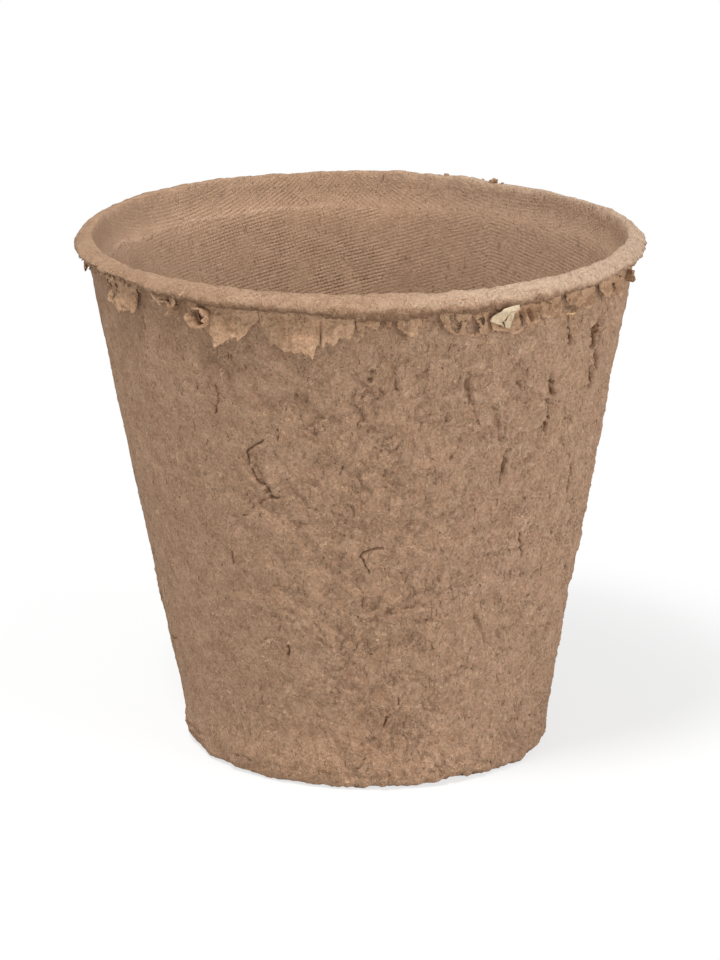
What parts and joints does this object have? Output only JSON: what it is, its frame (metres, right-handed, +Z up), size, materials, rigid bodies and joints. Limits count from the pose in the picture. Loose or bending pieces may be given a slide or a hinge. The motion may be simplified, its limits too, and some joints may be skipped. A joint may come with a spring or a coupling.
{
  "type": "peat pot",
  "caption": "Round tapered seedling pot of moulded peat and wood pulp, with a rolled rim, torn flash under the rim, a stacking ledge inside and a drain hole in the floor.",
  "frame": {"origin": "centre of the underside, on the pot's axis", "axes": "+Z up along the pot's axis, -Y towards the side that the picture shows"},
  "size_m": [0.102, 0.102, 0.0943],
  "materials": {
    "pulp": "dry, matte, fibrous moulded peat pulp",
    "flash": "thin torn pulp skin, matte and fibrous",
    "paper": "matte pale scrap",
    "straw": "dry straw, satin"
  },
  "bodies": {
    "root": {"moulded_pot": "pulp", "paper_chip": "paper", "pleated_frill_right": "flash", "rim_crumbs": "flash", "rolled_curl_far_right": "flash", "rolled_curl_front": "flash", "rolled_curl_left": "flash", "straw_splinter": "straw", "torn_patch_left": "flash", "torn_sheet_back": "flash", "torn_sheet_back_right": "flash", "torn_sheet_broad": "flash", "torn_tab_back_left": "flash", "torn_tab_centre": "flash", "torn_tab_far_right": "flash", "torn_tab_middle": "flash", "torn_tab_right": "flash", "torn_tatter_far_right": "flash", "torn_tongue_back_right": "flash", "torn_tongue_left": "flash", "torn_tongue_pointed": "flash", "torn_web_right": "flash"}
  },
  "joints": []
}
